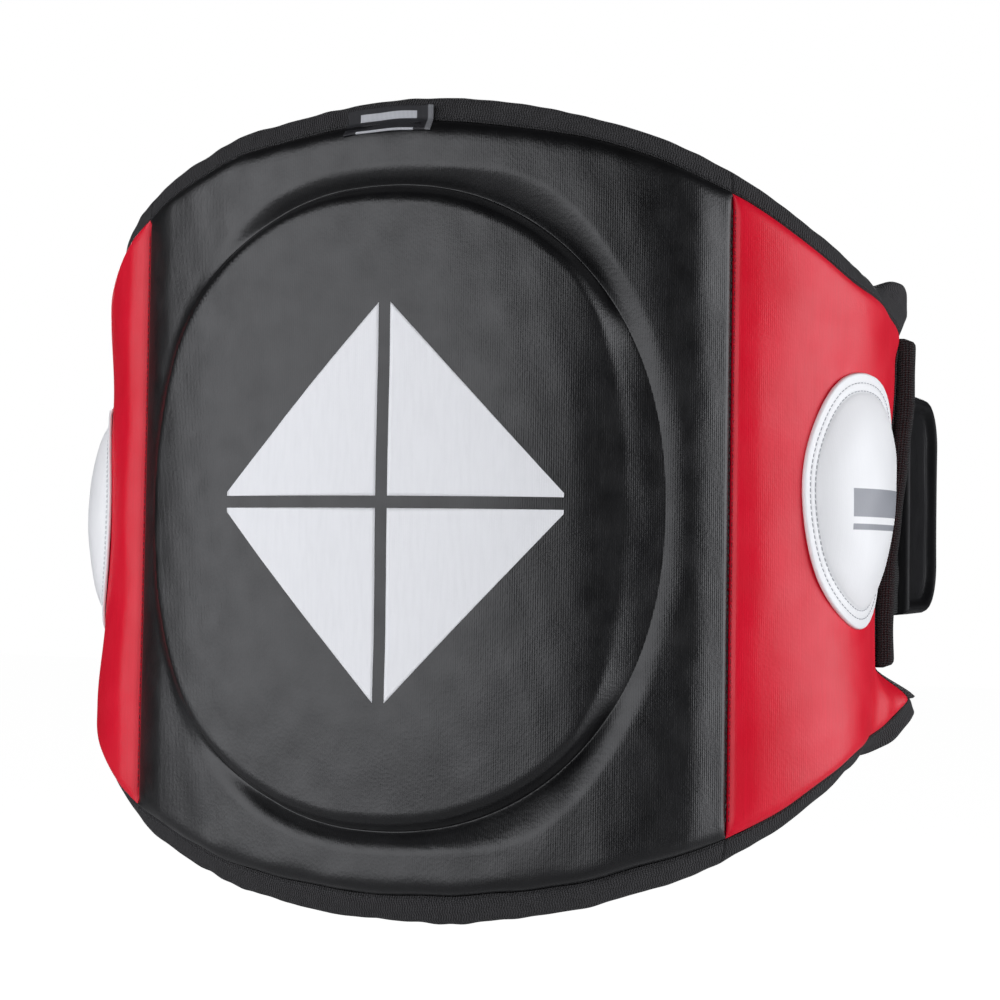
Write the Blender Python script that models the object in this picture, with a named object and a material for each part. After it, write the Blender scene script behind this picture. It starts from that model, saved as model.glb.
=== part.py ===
"""Trainer belly pad: a curved, foam-filled body shield worn round a boxing trainer's waist.

Units are metres, +Z up, +X towards the wearer's left, the pad's front faces -Y. The origin is the middle of
the pad's inner face, where it rests on the trainer's belly. The pad is described on its outer surface: s is
the distance along that surface from the middle in plan, z the height, depth the distance in from it.
"""
import math

import bmesh
import bpy
from mathutils import Vector

MM = 0.001
GAP = 0.3 * MM

# Plan of the outer surface: a shallow front arc, then a tighter wing on each side.
FRONT_HALF = 170 * MM
FRONT_TURN = math.radians(31.7)
FRONT_RADIUS = FRONT_HALF / FRONT_TURN
WING_RADIUS = 130 * MM
WING_END = 337 * MM

# Heights of the top and bottom edges, as (s, z) stations.
TOP_EDGE = (
    (0.0, 0.1875), (0.090, 0.1785), (0.130, 0.1685), (0.170, 0.153), (0.250, 0.1165), (0.305, 0.105), (0.337, 0.093)
)
BOTTOM_EDGE = (
    (0.0, -0.1905), (0.090, -0.1825), (0.130, -0.172), (0.170, -0.160), (0.250, -0.123), (0.305, -0.110), (0.337, -0.096)
)

# Build-up through the thickness: (s, depth) stations of the bound seam and of the inner face.
SEAM_DEPTH = ((0.0, 0.010), (0.130, 0.009), (0.200, 0.008), (0.295, 0.006), (0.322, 0.005), (0.337, 0.005))
BACK_DEPTH = ((0.0, 0.058), (0.130, 0.056), (0.200, 0.044), (0.295, 0.024), (0.322, 0.010), (0.337, 0.010))
EDGE_ROLL = 24 * MM
ROLL_SHARE = 0.8
SKIN = 1.5 * MM
ALLOWANCE = 8 * MM
FOAM_END = 316 * MM

# Binding tape, folded over the seam allowance.
TAPE = 1.2 * MM
TAPE_REACH = 12 * MM
END_TAPE_LAP = 9 * MM

# The wing hinges at the side seams leave a wedge open on the inner side, for the inward bend.
WEDGE = math.tan(math.radians(13))

# Side targets.
TARGET_S = 258 * MM
TARGET_Z = {1: 6 * MM, -1: -7 * MM}
TARGET_HALF_WIDTH = 50 * MM
TARGET_HALF_HEIGHT = 65 * MM
TARGET_DOME = 9 * MM
TARGET_FLANGE = 0.86
TARGET_SIDES = 32
FOAM_MARGIN = 0.06

# Fastening: anchor webbing on each wing end, elastic, and a padded flap on each side.
ANCHOR_S = 331 * MM
ANCHOR_THICK = 3.5 * MM
ANCHOR_REACH = 12 * MM
ANCHOR_LOW = -82 * MM
ANCHOR_HIGH = 96 * MM
STRAP_Z = 8 * MM
ELASTIC_HALF_HEIGHT = 74 * MM
ELASTIC_THICK = 2.5 * MM
ELASTIC_LENGTH = 30 * MM
ELASTIC_START = 2.5 * MM
FLAP_HALF_HEIGHT = 63 * MM
FLAP_CORNER = 30 * MM
FLAP_THICK = 14 * MM
FLAP_ROLL = 5 * MM
FLAP_SKIN = 1.2 * MM
TAB_LENGTH = 78 * MM
TAB_OUTWARD = math.radians(5.5)
BELT_LENGTH = 230 * MM
BELT_RADIUS = 165 * MM
PATCH_THICK = 1.5 * MM
PATCH_MARGIN = 17 * MM

# Printed emblem: four quarters of a diamond. Woven edge label.
EMBLEM_HALF_WIDTH = 88 * MM
EMBLEM_HALF_HEIGHT = 95 * MM
EMBLEM_SLIT = 3 * MM
EMBLEM_TIP = 2 * MM
PRINT = 0.4 * MM
LABEL_LEFT = -26 * MM
LABEL_RIGHT = 20 * MM
LABEL_THICK = 1.0 * MM

# Mesh steps.
FRONT_STEP = 25 * MM
WING_STEP = 14 * MM
ROLL_STEPS = 4
RING_SYMMETRY = 0
FLAP_SYMMETRY = -1

BLACK = (0.012, 0.012, 0.014)
RED = (0.56, 0.004, 0.022)
WHITE = (0.80, 0.81, 0.82)
GREY_FOAM = (0.05, 0.05, 0.06)
PALE_FOAM = (0.60, 0.60, 0.55)
PATCH_BLACK = (0.02, 0.02, 0.022)


def smooth(stations, s):
    """Value at |s| on a cubic curve through the stations, which never overshoots them."""
    s = min(abs(s), stations[-1][0])
    steps = [(v1 - v0) / (s1 - s0) for (s0, v0), (s1, v1) in zip(stations, stations[1:])]

    def slope(i):
        if i == 0:
            return 0.0
        if i == len(steps):
            return steps[-1]
        before, after = steps[i - 1], steps[i]
        return 2 * before * after / (before + after) if before * after > 0 else 0.0

    i = 0
    while i < len(steps) - 1 and s > stations[i + 1][0]:
        i += 1
    (s0, v0), (s1, v1) = stations[i], stations[i + 1]
    width = s1 - s0
    t = (s - s0) / width
    value = (2 * t**3 - 3 * t**2 + 1) * v0 + (3 * t**2 - 2 * t**3) * v1
    bend = (t**3 - 2 * t**2 + t) * slope(i) + (t**3 - t**2) * slope(i + 1)
    return value + bend * width


def top(s):
    return smooth(TOP_EDGE, s)


def bottom(s):
    return smooth(BOTTOM_EDGE, s)


def seam(s):
    return smooth(SEAM_DEPTH, s)


def back(s):
    return smooth(BACK_DEPTH, s)


def plan(s):
    """Outer surface in plan at s: x, y and the direction of travel, for the +X side."""
    q = abs(s)
    if q < FRONT_HALF:
        a = q / FRONT_RADIUS
        return FRONT_RADIUS * math.sin(a), FRONT_RADIUS * (1 - math.cos(a)), a
    a = FRONT_TURN + (q - FRONT_HALF) / WING_RADIUS
    x = FRONT_RADIUS * math.sin(FRONT_TURN) + WING_RADIUS * (math.sin(a) - math.sin(FRONT_TURN))
    y = FRONT_RADIUS * (1 - math.cos(FRONT_TURN)) + WING_RADIUS * (math.cos(FRONT_TURN) - math.cos(a))
    return x, y, a


def place(s, z, depth):
    """World point at s, z and depth; negative s is the -X side."""
    x, y, a = plan(s)
    x -= depth * math.sin(a)
    y += depth * math.cos(a)
    side = -1 if s < 0 else 1
    return Vector((side * x, y - back(0), z))


def wedge_start(depth):
    """Where a wing piece starts at this depth: a plane that leans away from the side seam."""
    return FRONT_HALF + GAP / 2 + WING_RADIUS * depth * WEDGE / (WING_RADIUS - depth)


def stretch(low, high, step):
    """Evenly spaced values of s from low to high."""
    count = math.ceil((high - low) / step)
    return [low + (high - low) * i / count for i in range(count + 1)]


def material(name, color, roughness):
    made = bpy.data.materials.new(name)
    made.use_nodes = True
    shader = made.node_tree.nodes["Principled BSDF"]
    shader.inputs["Base Color"].default_value = (*color, 1)
    shader.inputs["Roughness"].default_value = roughness
    shader.inputs["Metallic"].default_value = 0
    return made


def add(name, mesh, color, roughness=0.6, origin=None):
    """Finishes a bmesh as a named object with its own material, its origin on its joint's axis."""
    bmesh.ops.recalc_face_normals(mesh, faces=mesh.faces)
    origin = Vector(origin or (0, 0, 0))
    bmesh.ops.translate(mesh, verts=mesh.verts, vec=-origin)
    data = bpy.data.meshes.new(name)
    mesh.to_mesh(data)
    mesh.free()
    made = bpy.data.objects.new(name, data)
    made.location = origin
    bpy.context.scene.collection.objects.link(made)
    data.materials.append(material(name, color, roughness))
    data.shade_smooth()
    data.set_sharp_from_angle(angle=math.radians(35))
    return made


def skirt(mesh, rings):
    """Vertices of the rings, joined side to side into an open tube."""
    loops = [[mesh.verts.new(p) for p in ring] for ring in rings]
    count = len(loops[0])
    for one, two in zip(loops, loops[1:]):
        for i in range(count):
            j = (i + 1) % count
            mesh.faces.new((one[i], one[j], two[j], two[i]))
    return loops


def loft(rings):
    """Closed body through rings of points, each ring one closed outline, with a cap at both ends."""
    mesh = bmesh.new()
    loops = skirt(mesh, rings)
    mesh.faces.new(loops[0])
    mesh.faces.new(loops[-1])
    return mesh


def ruled_loft(rings, first):
    """As loft, for outlines symmetric in z: each cap is ruled upright between point i and point first - i."""
    mesh = bmesh.new()
    loops = skirt(mesh, rings)
    count = len(rings[0])
    for loop in (loops[0], loops[-1]):
        for i in range(count // 2 - (first < 0)):
            quad = [loop[i], loop[i + 1], loop[(first - i - 1) % count], loop[(first - i) % count]]
            corners = [v for n, v in enumerate(quad) if v not in quad[:n]]
            mesh.faces.new(corners)
    return mesh


def run(side, stations, outline, wedged=False):
    """Loft along s of outline(s), a list of (z, depth); a wing piece starts on the wedge plane."""
    start = stations[0]
    rings = []
    for s in stations:
        share = (WING_END - s) / (WING_END - start)
        ring = []
        for z, depth in outline(s):
            shift = (wedge_start(max(depth, 0)) - start) * share if wedged else 0
            ring.append(place(side * (s + shift), z, depth))
        rings.append(ring)
    return loft(rings)


def corner(z, depth, radius, start, sweep):
    """Rounded corner about the centre z, depth."""
    angles = [start + sweep * i / ROLL_STEPS for i in range(ROLL_STEPS + 1)]
    return [(z + radius * math.sin(a), depth - radius * math.cos(a)) for a in angles]


def channel(s, face, inset, allowance):
    """Half outline of a shell: seam allowance, wall, rolled edges and face; inset is from its outside."""
    toward = 1 if face > seam(s) else -1
    roll = min(EDGE_ROLL, ROLL_SHARE * abs(face - seam(s)))
    flange = seam(s) + toward * (GAP / 2 + max(0, SKIN - inset))
    radius = roll - inset
    center = face - toward * roll
    points = [(top(s) + allowance, flange), (top(s) - inset, flange)]
    upper = corner(0, 0, radius, math.pi / 2, -math.pi / 2)
    points += [(top(s) - roll + z, center - toward * depth) for z, depth in upper]
    points += [(bottom(s) + roll - z, center - toward * depth) for z, depth in reversed(upper)]
    points += [(bottom(s) + inset, flange), (bottom(s) - allowance, flange)]
    return points


def shell(face):
    """Outline of a sewn skin whose face lies at face(s)."""
    def outline(s):
        outside = channel(s, face(s), 0, ALLOWANCE)
        inside = channel(s, face(s), SKIN, ALLOWANCE)
        return outside + inside[::-1]
    return outline


def core(face):
    """Outline of the foam block that fills a sewn skin."""
    def outline(s):
        points = channel(s, face(s), SKIN + 2 * GAP, 0)
        return points[1:-1]
    return outline


def binding(edge, up):
    """Outline of the folded tape round the seam allowance; up is 1 on the top edge, -1 below."""
    def outline(s):
        middle = seam(s)
        slot = GAP / 2 + SKIN + GAP
        wall = slot + TAPE
        near = edge(s) + up * GAP
        floor = edge(s) + up * (ALLOWANCE + GAP)
        far = edge(s) + up * TAPE_REACH
        return [
            (near, middle - wall), (far, middle - wall), (far, middle + wall), (near, middle + wall),
            (near, middle + slot), (floor, middle + slot), (floor, middle - slot), (near, middle - slot),
        ]
    return outline


def outer_face(s):
    return 0.0


def shells_and_foam():
    """Skins, linings, foam blocks and edge tape of the front and of both wings."""
    front = stretch(GAP / 2 - FRONT_HALF, FRONT_HALF - GAP / 2, FRONT_STEP)
    wing = stretch(FRONT_HALF + GAP / 2, WING_END, WING_STEP)
    filled = [s for s in wing if s < FOAM_END]
    pieces = (
        ("skin", shell(outer_face), BLACK, RED, 0.45, wing),
        ("lining", shell(back), BLACK, BLACK, 0.8, wing),
        ("top_binding", binding(top, 1), BLACK, BLACK, 0.85, wing),
        ("bottom_binding", binding(bottom, -1), BLACK, BLACK, 0.85, wing),
        ("moulded_foam", core(outer_face), GREY_FOAM, GREY_FOAM, 0.9, filled),
        ("core_foam", core(back), PALE_FOAM, PALE_FOAM, 0.9, filled),
    )
    for name, outline, front_color, wing_color, roughness, stations in pieces:
        add("front_" + name, run(1, front, outline), front_color, roughness)
        for side, word in ((1, "left"), (-1, "right")):
            mesh = run(side, stations, outline, wedged=True)
            add(f"{word}_wing_{name}", mesh, wing_color, roughness, hinge(side))


def hinge(side):
    """Axis point of a wing's bend, on the outer surface at the side seam."""
    return place(side * FRONT_HALF, 0, 0)


def end_binding(side):
    """Folded tape over a wing's free end."""
    slot_end = WING_END + GAP
    lap = WING_END - END_TAPE_LAP
    mid = (lap + WING_END) / 2
    outline = [(lap, -GAP - TAPE), (mid, -GAP - TAPE), (slot_end + TAPE, -GAP - TAPE)]
    outline += [(slot_end + TAPE, back(WING_END) + GAP + TAPE), (mid, back(mid) + GAP + TAPE)]
    outline += [(lap, back(lap) + GAP + TAPE), (lap, back(lap) + GAP), (mid, back(mid) + GAP)]
    outline += [(slot_end, back(WING_END) + GAP), (slot_end, -GAP), (mid, -GAP), (lap, -GAP)]
    rings = []
    for share in (0.0, 0.25, 0.5, 0.75, 1.0):
        ring = []
        for s, depth in outline:
            low = bottom(s) + GAP
            high = top(s) - GAP
            ring.append(place(side * s, low + (high - low) * share, depth))
        rings.append(ring)
    return loft(rings)


def anchor_strip(side):
    """Folded webbing that stands out from the wing's end and holds the strap."""
    near = -(2 * GAP + TAPE)
    far = near - ANCHOR_REACH
    rings = []
    for z in (ANCHOR_LOW, 0.0, ANCHOR_HIGH):
        low, high = side * ANCHOR_S, side * (ANCHOR_S + ANCHOR_THICK)
        rings.append([place(low, z, near), place(high, z, near), place(high, z, far), place(low, z, far)])
    return loft(rings)


def dome(center_s, center_z, height, width, tall, flange):
    """Rings of a domed oval: (share of the half sizes, height above the surface)."""
    rings = []
    profile = [(1.0, 0.0)]
    if flange:
        profile.append((flange, 0.0))
    start = flange or 1.0
    for lift in (0.35, 0.65, 0.88):
        profile.append((start * math.cos(lift * math.pi / 2), math.sin(lift * math.pi / 2)))
    for share, rise in profile:
        ring = []
        for i in range(TARGET_SIDES):
            a = 2 * math.pi * i / TARGET_SIDES
            s = center_s + share * width * math.cos(a)
            z = center_z + share * tall * math.sin(a)
            ring.append((s, z, rise * height))
        rings.append(ring)
    return rings


def target(side):
    """Cover and foam of one oval side target."""
    word = "left" if side > 0 else "right"
    width, tall = TARGET_HALF_WIDTH, TARGET_HALF_HEIGHT

    def lay(rings, lift):
        return [[place(side * s, z, -lift - rise) for s, z, rise in ring] for ring in rings]

    outside = dome(TARGET_S, TARGET_Z[side], TARGET_DOME, width, tall, TARGET_FLANGE)
    inside = dome(TARGET_S, TARGET_Z[side], TARGET_DOME, width - SKIN, tall - SKIN, TARGET_FLANGE)
    bare = outside[0]
    cover = lay(inside[1:][::-1], GAP) + lay([bare], GAP) + lay(outside, GAP + SKIN)
    add(f"{word}_target_cover", ruled_loft(cover, RING_SYMMETRY), WHITE, 0.4, hinge(side))
    share = TARGET_FLANGE - FOAM_MARGIN
    filling = dome(TARGET_S, TARGET_Z[side], TARGET_DOME - GAP * 2, width * share, tall * share, None)
    base = [filling[0]]
    body = lay(base, GAP) + lay(filling[1:], GAP)
    add(f"{word}_target_foam", ruled_loft(body, RING_SYMMETRY), PALE_FOAM, 0.9, hinge(side))


def emblem():
    """Four quarters of a diamond, printed on the front with a slit between them."""
    for word, side in (("left", 1), ("right", -1)):
        for level, up in (("upper", 1), ("lower", -1)):
            rings = []
            for share in (0.0, 0.25, 0.5, 0.75, 1.0):
                s = EMBLEM_SLIT + (EMBLEM_HALF_WIDTH - EMBLEM_SLIT) * share
                reach = EMBLEM_SLIT + EMBLEM_TIP + (EMBLEM_HALF_HEIGHT - EMBLEM_SLIT) * (1 - share)
                corners = ((EMBLEM_SLIT, -GAP), (reach, -GAP), (reach, -GAP - PRINT), (EMBLEM_SLIT, -GAP - PRINT))
                rings.append([place(side * s, up * z, depth) for z, depth in corners])
            add(f"emblem_{level}_{word}", loft(rings), WHITE, 0.35)


def label():
    """Blank woven label over the top tape."""
    front = GAP * 2 + GAP / 2 + SKIN + TAPE
    rings = []
    for s in (LABEL_LEFT, (LABEL_LEFT + LABEL_RIGHT) / 2, LABEL_RIGHT):
        near = seam(s) - front
        low, high = top(s) + GAP, top(s) + TAPE_REACH
        corners = ((low, near), (high, near), (high, near - LABEL_THICK), (low, near - LABEL_THICK))
        rings.append([place(s, z, depth) for z, depth in corners])
    add("edge_label", loft(rings), BLACK, 0.8)


class Strap:
    """Line that a strap follows in plan from its hinge: straight on, then an arc that turns inward."""

    def __init__(self, side, heading, radius):
        s = WING_END + GAP + TAPE
        self.side = side
        self.origin = place(s, 0, -ELASTIC_THICK)
        self.heading = heading
        self.radius = radius

    def hinge(self):
        return Vector((self.side * self.origin.x, self.origin.y, 0))

    def point(self, along, z, out):
        """Point at this distance along the strap, height z above its middle, out from its line."""
        turn = along / self.radius if self.radius else 0.0
        a = self.heading + turn
        if self.radius:
            x = self.radius * (math.sin(a) - math.sin(self.heading))
            y = self.radius * (math.cos(self.heading) - math.cos(a))
        else:
            x = along * math.cos(a)
            y = along * math.sin(a)
        x += self.origin.x + out * math.sin(a)
        y += self.origin.y - out * math.cos(a)
        return Vector((self.side * x, y, STRAP_Z + z))


def flap_outline(length, margin, root_margin):
    """Outline of a flap: square at its root, rounded at its free end, as (along, z)."""
    tall = FLAP_HALF_HEIGHT - margin
    radius = FLAP_CORNER - margin
    far = length - FLAP_CORNER
    count = math.ceil(far / WING_STEP)
    stations = [far * i / count for i in range(1, count)]
    straight = [root_margin] + [x for x in stations if x > root_margin + GAP]
    lower = []
    for i in range(ROLL_STEPS * 2 + 1):
        a = -math.pi / 2 + math.pi / 2 * i / (ROLL_STEPS * 2)
        lower.append((far + radius * math.cos(a), -tall + radius + radius * math.sin(a)))
    half = [(x, -tall) for x in straight] + lower
    return half + [(x, -z) for x, z in reversed(half)]


def flap(word, strap, length):
    """Padded flap: dished outer cover, foam, back cover and touch-fastener patch, after the elastic."""
    hinge_point = strap.hinge()
    start = ELASTIC_LENGTH
    inner = -FLAP_THICK / 2
    outer = FLAP_THICK / 2
    seat = inner + FLAP_SKIN
    shoulder = outer - FLAP_ROLL

    def stack(layers):
        rings = []
        for margin, out in layers:
            outline = flap_outline(length, margin, margin)
            rings.append([strap.point(start + x, z, out) for x, z in outline])
        return ruled_loft(rings, FLAP_SYMMETRY)

    lining = FLAP_ROLL + FLAP_SKIN / 2
    cover = ((FLAP_ROLL, outer), (0, shoulder), (0, seat + GAP))
    cover += ((FLAP_SKIN, seat + GAP), (FLAP_SKIN, shoulder), (lining, outer - FLAP_SKIN))
    add(word + "_cover", stack(cover), BLACK, 0.3, hinge_point)
    inset = FLAP_SKIN + GAP
    foam = ((inset, seat + GAP), (inset, shoulder - GAP), (lining + GAP, outer - inset))
    add(word + "_foam", stack(foam), PALE_FOAM, 0.9, hinge_point)
    add(word + "_back", stack(((0, inner), (0, seat))), BLACK, 0.7, hinge_point)
    patch = stack(((PATCH_MARGIN, inner - GAP - PATCH_THICK), (PATCH_MARGIN, inner - GAP)))
    add(word + "_patch", patch, PATCH_BLACK, 0.95, hinge_point)


def elastic(word, strap):
    """Flat elastic web from the wing's end to the flap's root."""
    rings = []
    half = ELASTIC_THICK / 2
    for share in (0.0, 0.5, 1.0):
        along = ELASTIC_START + (ELASTIC_LENGTH - GAP - ELASTIC_START) * share
        tall = ELASTIC_HALF_HEIGHT + (FLAP_HALF_HEIGHT - ELASTIC_HALF_HEIGHT) * share
        corners = ((-tall, -half), (tall, -half), (tall, half), (-tall, half))
        rings.append([strap.point(along, z, out) for z, out in corners])
    add(word + "_elastic", loft(rings), BLACK, 0.85, strap.hinge())


def build():
    for old in list(bpy.data.objects):
        bpy.data.objects.remove(old)
    shells_and_foam()
    for side, word in ((1, "left"), (-1, "right")):
        target(side)
        add(f"{word}_end_binding", end_binding(side), BLACK, 0.85, hinge(side))
        add(f"{word}_anchor_strip", anchor_strip(side), BLACK, 0.85, hinge(side))
    emblem()
    label()
    tab = Strap(1, math.pi / 2 - TAB_OUTWARD, None)
    belt = Strap(-1, plan(WING_END)[2], BELT_RADIUS)
    for word, strap, length in (("tab", tab, TAB_LENGTH), ("belt", belt, BELT_LENGTH)):
        elastic(word, strap)
        flap(word, strap, length)


build()
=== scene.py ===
"""Looks of the trainer belly pad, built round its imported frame.

Every sewn piece is laid out on the pad's outer surface, as the CAD is: s is the distance along that
surface from the middle in plan, z the height and depth the distance in from it. Each mesh carries the UV
map "surface", which holds its flat cloth coordinates in metres, so weave, grain and print keep their real
size and stay on the cloth.
"""

import math

import bmesh
import bpy
import numpy as np
from mathutils import Matrix, Vector

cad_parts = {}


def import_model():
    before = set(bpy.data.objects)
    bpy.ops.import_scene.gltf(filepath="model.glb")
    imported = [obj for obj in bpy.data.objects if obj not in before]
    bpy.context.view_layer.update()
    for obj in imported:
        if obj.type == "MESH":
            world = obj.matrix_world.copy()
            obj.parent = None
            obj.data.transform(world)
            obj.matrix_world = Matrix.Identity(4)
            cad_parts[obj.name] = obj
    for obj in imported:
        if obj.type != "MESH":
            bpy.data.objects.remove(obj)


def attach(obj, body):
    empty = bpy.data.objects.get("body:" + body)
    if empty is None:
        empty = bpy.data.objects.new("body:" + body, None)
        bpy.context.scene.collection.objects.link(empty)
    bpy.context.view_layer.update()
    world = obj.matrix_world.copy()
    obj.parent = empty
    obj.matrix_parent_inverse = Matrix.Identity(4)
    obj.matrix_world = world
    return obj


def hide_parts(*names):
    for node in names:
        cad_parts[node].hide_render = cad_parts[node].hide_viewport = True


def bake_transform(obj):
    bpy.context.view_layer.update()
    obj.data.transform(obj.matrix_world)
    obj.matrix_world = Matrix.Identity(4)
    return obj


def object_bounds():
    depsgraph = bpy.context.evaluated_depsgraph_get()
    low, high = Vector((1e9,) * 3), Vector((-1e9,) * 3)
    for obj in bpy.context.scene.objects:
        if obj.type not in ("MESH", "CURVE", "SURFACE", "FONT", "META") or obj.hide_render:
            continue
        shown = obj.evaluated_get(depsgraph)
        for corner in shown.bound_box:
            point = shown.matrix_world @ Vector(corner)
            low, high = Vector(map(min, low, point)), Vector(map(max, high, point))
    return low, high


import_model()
cad_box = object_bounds()

MM = 0.001
GAP = 0.3 * MM
TAU = 2 * math.pi

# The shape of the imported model.
FRONT_HALF = 170 * MM
FRONT_TURN = math.radians(31.7)
FRONT_RADIUS = FRONT_HALF / FRONT_TURN
WING_RADIUS = 130 * MM
WING_END = 337 * MM
TOP_EDGE = (
    (0.0, 0.1875), (0.090, 0.1785), (0.130, 0.1685), (0.170, 0.153),
    (0.250, 0.1165), (0.305, 0.105), (0.337, 0.093),
)
BOTTOM_EDGE = (
    (0.0, -0.1905), (0.090, -0.1825), (0.130, -0.172), (0.170, -0.160),
    (0.250, -0.123), (0.305, -0.110), (0.337, -0.096),
)
SEAM_DEPTH = ((0.0, 0.010), (0.130, 0.009), (0.200, 0.008), (0.295, 0.006), (0.322, 0.005), (0.337, 0.005))
BACK_DEPTH = ((0.0, 0.058), (0.130, 0.056), (0.200, 0.044), (0.295, 0.024), (0.322, 0.010), (0.337, 0.010))
SKIN = 1.5 * MM
TAPE = 1.2 * MM
TAPE_REACH = 12 * MM
TARGET_S = 258 * MM
TARGET_Z = {1: 6 * MM, -1: -7 * MM}
TARGET_HALF_WIDTH = 50 * MM
TARGET_HALF_HEIGHT = 65 * MM
ANCHOR_S = 332 * MM
ANCHOR_LOW = -82 * MM
ANCHOR_HIGH = 96 * MM
STRAP_Z = 8 * MM
ELASTIC_THICK = 2.5 * MM
ELASTIC_LENGTH = 30 * MM
ELASTIC_BEND = 14 * MM
ELASTIC_HALF_HEIGHT = 74 * MM
FLAP_HALF_HEIGHT = 63 * MM
FLAP_CORNER = 30 * MM
FLAP_THICK = 14 * MM
FLAP_SKIN = 1.2 * MM
FLAP_RIM = 5 * MM
FLAP_SUNK = 6 * MM
TAB_LENGTH = 78 * MM
TAB_OUTWARD = math.radians(5.5)
TAB_SPREAD = math.radians(0.8)
BELT_LENGTH = 230 * MM
BELT_RADIUS = 165 * MM
EMBLEM_HALF_WIDTH = 88 * MM
EMBLEM_HALF_HEIGHT = 95 * MM
EMBLEM_SLIT = 3 * MM
LABEL_LEFT = -26 * MM
LABEL_RIGHT = 20 * MM
LABEL_TALL = 13 * MM

# Relief of the moulded front: an oval crease round a crowned disc. On the wearer's right, where s is
# below 0, the disc ends in a step. On the left the crease has a wide shallow inner wall, and a raised brim
# stands outside it. QUARTER_S is the middle and the width of a stretch where the crease is deeper and its
# outer wall wider. Where a value is a pair by side, the wearer's right comes first.
GROOVE_CENTER = (-5 * MM, -2 * MM)
GROOVE_HALF_WIDTH = 142 * MM
GROOVE_HALF_HEIGHT = 158 * MM
GROOVE_POWER = 2.2
GROOVE_DEEP = 6.5 * MM
GROOVE_INSIDE = 8 * MM
GROOVE_OUTSIDE = 8 * MM
CREASE_BLUNT = 0.1 * MM
CREASE_INSIDE = 1.8
CREASE_OUTSIDE = 1.4
DISC_CROWN = 2 * MM
DISC_RISE = 3.2 * MM
RIGHT_S = (60 * MM, 130 * MM)
RIGHT_SHARE = 1.4
RIGHT_RISE = 0.9
LEFT_S = (90 * MM, 135 * MM)
LEFT_SHARE = 0.85
LEFT_WIDER = 2.6
BRIM_S = (60 * MM, 130 * MM)
BRIM_RISE = 2.6 * MM
BRIM_WIDTH = 16 * MM
QUARTER_S = (75 * MM, 40 * MM)
QUARTER_DEEP = 3 * MM
QUARTER_WIDER = 1.2
SEAM_FADE = (25 * MM, 22 * MM)
CREASE_ZONE = 9 * MM
CREASE_PACKED = 0.14
FOAM_CLEAR = 4 * MM

# How the leather turns in at its seams.
SEAM_ROLL = 4 * MM
SEAM_VALLEY = (4.0 * MM, 1.5 * MM)
FRONT_VALLEY_WIDTH = 28 * MM
WING_VALLEY_WIDTH = 14 * MM
VALLEY_POWER = 1.3
ROLL_POWER = 2.5
ROLL_BASE = 7 * MM
ROLL_SHARE = 0.5

# The wings' rear corners flare outward, and the rear end leans inward towards its foot.
LOW_FLARE = 27 * MM
LOW_FLARE_S = (288 * MM, 350 * MM)
LOW_FLARE_Z = (80 * MM, 101 * MM)
HIGH_FLARE = 6 * MM
HIGH_FLARE_S = (300 * MM, 337 * MM)
HIGH_FLARE_Z = (80 * MM, 104 * MM)
REAR_SAG = 4 * MM
REAR_SAG_S = 300 * MM
REAR_SAG_WIDTH = 24 * MM
BELLY = 4 * MM
BELLY_S = 236 * MM
TWIST = 10 * MM
TWIST_S = (215 * MM, 330 * MM)
TWIST_Z = (-80 * MM, 60 * MM)

# How far the tape leans back at its fold, on the top and on the bottom edge.
TAPE_LEAN = {1: 2 * MM, -1: 6 * MM}
REAR_LEAN = {1: 5 * MM, -1: 0.0}
REAR_LEAN_S = (235 * MM, 290 * MM)
CORNER_REACH = {1: 10 * MM, -1: 0.0}
CORNER_LEAN = {1: -13 * MM, -1: -10 * MM}
LOW_REACH = 2.5 * MM
CORNER_S = (290 * MM, 316 * MM)

# Half the thickness of the folded edge tape, at the middle of its cloth.
TAPE_HALF = GAP / 2 + SKIN + GAP + TAPE / 2

# Camera at the viewing angle: a little to the wearer's left and just below the middle.
LENS = 69.4
CAMERA_AT = (0.3512, -0.9273, -0.0280)
CAMERA_TURN = math.radians(18.59)
CAMERA_TILT = math.radians(1.83)
CAMERA_ROLL = math.radians(0.88)

# Soft lights that aim at the middle of the pad: name, place, width, height and power.
LIGHTS = (
    ("key_light", (-1.11, -1.92, 0.22), 4.7, 2.0, 68),
    ("fill_light", (2.17, 0.25, 0.15), 2.2, 1.9, 45),
    ("rear_light", (-0.75, 2.0, 1.1), 2.0, 1.6, 60),
)
FLOOR_HALF = 12.0
FLOOR_DROP = 0.6

WORDS = ((1, "left"), (-1, "right"))


# ---- surface of the pad


def step(value, low, high):
    """Smooth step of value from 0 at low to 1 at high."""
    t = np.clip((value - low) / (high - low), 0, 1)
    return t * t * (3 - 2 * t)


def bell(value, width):
    return np.exp(-((value / width) ** 2))


def smooth(stations, s):
    """Values at |s| on a cubic curve through the stations, which never overshoots them."""
    at, value = np.array(stations).T
    steps = np.diff(value) / np.diff(at)
    slopes = np.zeros(len(at))
    slopes[-1] = steps[-1]
    before, after = steps[:-1], steps[1:]
    same = before * after > 0
    slopes[1:-1][same] = (2 * before * after)[same] / (before + after)[same]
    q = np.minimum(np.abs(s), at[-1])
    i = np.clip(np.searchsorted(at, q, side="right") - 1, 0, len(at) - 2)
    width = at[i + 1] - at[i]
    t = (q - at[i]) / width
    rise = (2 * t**3 - 3 * t**2 + 1) * value[i] + (3 * t**2 - 2 * t**3) * value[i + 1]
    return rise + width * ((t**3 - 2 * t**2 + t) * slopes[i] + (t**3 - t**2) * slopes[i + 1])


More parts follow.
